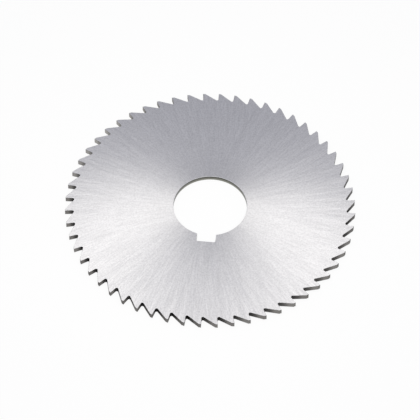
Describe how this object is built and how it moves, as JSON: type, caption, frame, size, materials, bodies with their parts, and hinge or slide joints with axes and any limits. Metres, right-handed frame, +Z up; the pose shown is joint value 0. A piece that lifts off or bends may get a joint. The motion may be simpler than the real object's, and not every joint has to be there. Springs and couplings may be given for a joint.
{
  "type": "slitting saw",
  "caption": "Thin round steel saw with fine teeth round its rim, hollow ground faces and a keyed central bore, for cutting narrow slots in metal on a milling arbor.",
  "frame": {"origin": "on the bore axis, in the plane of the rim's lower face", "axes": "+Z up along the bore axis, -Y from the axis towards the keyway, +X to the right seen from the keyway side"},
  "size_m": [0.1, 0.1, 0.002],
  "materials": {
    "tool_steel": "ground"
  },
  "bodies": {
    "root": {"saw_blade": "tool_steel"}
  },
  "joints": []
}
